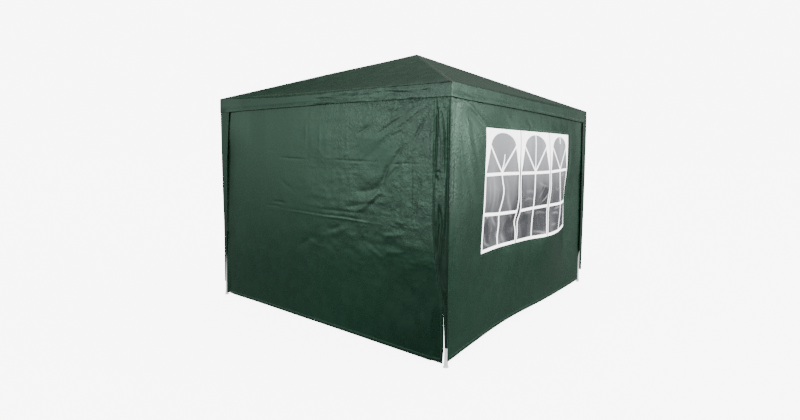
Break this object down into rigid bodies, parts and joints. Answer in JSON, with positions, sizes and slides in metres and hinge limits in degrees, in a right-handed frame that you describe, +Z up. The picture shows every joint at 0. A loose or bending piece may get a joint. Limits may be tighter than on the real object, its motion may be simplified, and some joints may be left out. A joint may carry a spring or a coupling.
{
  "type": "marquee tent",
  "caption": "Square party tent: a white tube frame under a pyramid cover with a valance and corner tails, closed by hanging fabric walls with arched window panels.",
  "frame": {"origin": "on the ground, at the middle of the square that the tent covers", "axes": "+Z up; the front wall, which is plain, is at -Y, and a window wall is at +X"},
  "size_m": [3, 3, 2.7249],
  "materials": {
    "white_steel": "white powder coat, satin",
    "green_fabric": "coated woven sheet, slightly shiny, creased",
    "clear_film": "soft clear film, glossy, crinkled",
    "white_print": "white, semi-matte"
  },
  "bodies": {
    "root": {"foot_front_right": "white_steel", "leg_lower_front_right": "white_steel", "leg_upper_front_right": "white_steel", "corner_connector_front_right": "white_steel", "rafter_front_right": "white_steel", "foot_back_right": "white_steel", "leg_lower_back_right": "white_steel", "leg_upper_back_right": "white_steel", "corner_connector_back_right": "white_steel", "rafter_back_right": "white_steel", "foot_back_left": "white_steel", "leg_lower_back_left": "white_steel", "leg_upper_back_left": "white_steel", "corner_connector_back_left": "white_steel", "rafter_back_left": "white_steel", "foot_front_left": "white_steel", "leg_lower_front_left": "white_steel", "leg_upper_front_left": "white_steel", "corner_connector_front_left": "white_steel", "rafter_front_left": "white_steel", "eave_beam_front_1": "white_steel", "eave_beam_front_2": "white_steel", "eave_beam_right_1": "white_steel", "eave_beam_right_2": "white_steel", "eave_beam_back_1": "white_steel", "eave_beam_back_2": "white_steel", "eave_beam_left_1": "white_steel", "eave_beam_left_2": "white_steel", "peak_connector": "white_steel", "roof_panel_front": "green_fabric", "valance_front": "green_fabric", "wall_front": "green_fabric", "roof_panel_right": "green_fabric", "valance_right": "green_fabric", "wall_right": "green_fabric", "roof_panel_back": "green_fabric", "valance_back": "green_fabric", "wall_back": "green_fabric", "roof_panel_left": "green_fabric", "valance_left": "green_fabric", "wall_left": "green_fabric", "corner_tail_front_right": "green_fabric", "corner_tail_back_right": "green_fabric", "corner_tail_back_left": "green_fabric", "corner_tail_front_left": "green_fabric", "window_film_right": "clear_film", "window_film_left": "clear_film", "window_grid_right": "white_print", "window_grid_left": "white_print"}
  },
  "joints": []
}
